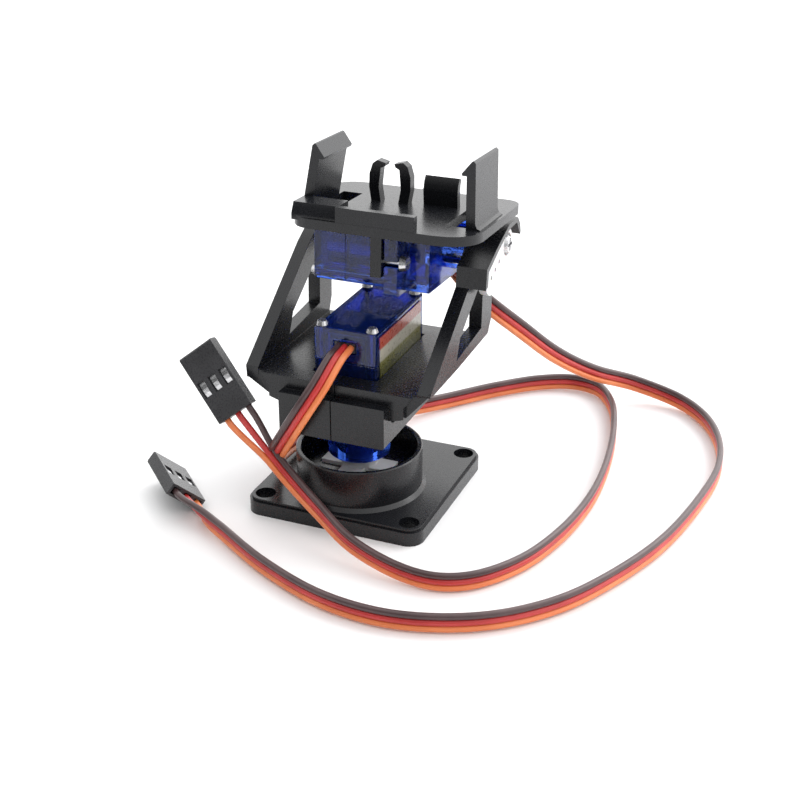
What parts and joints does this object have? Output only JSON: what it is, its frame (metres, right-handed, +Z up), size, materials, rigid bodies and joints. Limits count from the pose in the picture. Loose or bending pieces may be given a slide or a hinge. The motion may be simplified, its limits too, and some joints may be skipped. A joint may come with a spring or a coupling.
{
  "type": "pan and tilt camera mount",
  "caption": "Black plastic pan and tilt mount for a small camera: a square foot, a two-armed yoke turned by a blue micro servo, and a clip-on plate tilted by another.",
  "frame": {"origin": "centre of the box around the mount without its leads, on the surface the foot stands on", "axes": "+Z up along the pan axis; +X from the left arm to the right arm, along the tilt axis; +Y from the camera's side to the back"},
  "size_m": [0.1037, 0.1034, 0.0676],
  "materials": {
    "black_plastic": "satin moulded nylon",
    "clear_blue_plastic": "glossy see-through blue",
    "white_nylon": "smooth moulded nylon",
    "steel": "zinc-plated, drawn steel",
    "potentiometer_can": "pressed dull metal",
    "circuit_board": "green lacquered laminate",
    "sticker": "printed film with no lettering",
    "connector_plastic": "moulded socket housing",
    "lead_insulation": "flat three-wire ribbon, brown, red and orange"
  },
  "bodies": {
    "foot": {"base": "black_plastic", "pan_horn": "white_nylon", "pan_horn_screw_1": "steel", "pan_horn_screw_2": "steel", "pan_spline_screw": "steel", "pan_output_shaft": "white_nylon", "pan_lead": "lead_insulation", "tilt_lead": "lead_insulation", "tilt_connector": "connector_plastic"},
    "yoke": {"yoke_left": "black_plastic", "yoke_right": "black_plastic", "yoke_screw_1": "steel", "yoke_screw_2": "steel", "pan_servo_bottom_cover": "clear_blue_plastic", "pan_servo_case": "clear_blue_plastic", "pan_servo_gear_cover": "clear_blue_plastic", "pan_case_screw_1": "steel", "pan_case_screw_2": "steel", "pan_case_screw_3": "steel", "pan_case_screw_4": "steel", "pan_motor": "steel", "pan_potentiometer": "potentiometer_can", "pan_circuit_board": "circuit_board", "pan_lead_grommet": "connector_plastic", "pan_servo_sticker": "sticker", "pan_connector": "connector_plastic", "tilt_output_shaft": "white_nylon", "tilt_horn": "white_nylon", "tilt_horn_screw": "steel"},
    "camera_head": {"camera_plate": "black_plastic", "tilt_flange_screw_1": "steel", "tilt_flange_screw_2": "steel", "left_pivot_screw": "steel", "tilt_servo_bottom_cover": "clear_blue_plastic", "tilt_servo_case": "clear_blue_plastic", "tilt_servo_gear_cover": "clear_blue_plastic", "tilt_case_screw_1": "steel", "tilt_case_screw_2": "steel", "tilt_case_screw_3": "steel", "tilt_case_screw_4": "steel", "tilt_motor": "steel", "tilt_potentiometer": "potentiometer_can", "tilt_circuit_board": "circuit_board", "tilt_lead_grommet": "connector_plastic"},
    "pan_idler": {"pan_idler_gear": "white_nylon"},
    "pan_pinion": {"pan_motor_pinion": "white_nylon"},
    "tilt_idler": {"tilt_idler_gear": "white_nylon"},
    "tilt_pinion": {"tilt_motor_pinion": "white_nylon"}
  },
  "joints": [
    {"name": "pan", "type": "hinge", "parent": "foot", "child": "yoke", "pos_m": [-0.00165, -0.01001, 0], "axis": [0, 0, 1], "range_deg": [-90, 90], "deforming": ["pan_lead"]},
    {"name": "tilt", "type": "hinge", "parent": "yoke", "child": "camera_head", "pos_m": [-0.00165, 0.01279, 0.0463], "axis": [1, 0, 0], "range_deg": [-75, 10], "deforming": ["tilt_lead"]},
    {"name": "pan_idler_spin", "type": "hinge", "parent": "yoke", "child": "pan_idler", "pos_m": [-0.00165, -0.00376, 0], "axis": [0, 0, 1], "range_deg": [-271, 271]},
    {"name": "pan_pinion_spin", "type": "hinge", "parent": "yoke", "child": "pan_pinion", "pos_m": [-0.00165, 0.00119, 0], "axis": [0, 0, 1], "range_deg": [-878, 878]},
    {"name": "tilt_idler_spin", "type": "hinge", "parent": "camera_head", "child": "tilt_idler", "pos_m": [-0.00165, 0.00655, 0.04663], "axis": [1, 0, 0], "range_deg": [-226, 31]},
    {"name": "tilt_pinion_spin", "type": "hinge", "parent": "camera_head", "child": "tilt_pinion", "pos_m": [-0.00165, 0.0016, 0.04689], "axis": [1, 0, 0], "range_deg": [-98, 732]}
  ],
  "couplings": [
    {"joint": "pan_idler_spin", "follows": "pan", "ratio": 3},
    {"joint": "pan_pinion_spin", "follows": "pan", "ratio": -9.75},
    {"joint": "tilt_idler_spin", "follows": "tilt", "ratio": 3},
    {"joint": "tilt_pinion_spin", "follows": "tilt", "ratio": -9.75}
  ]
}
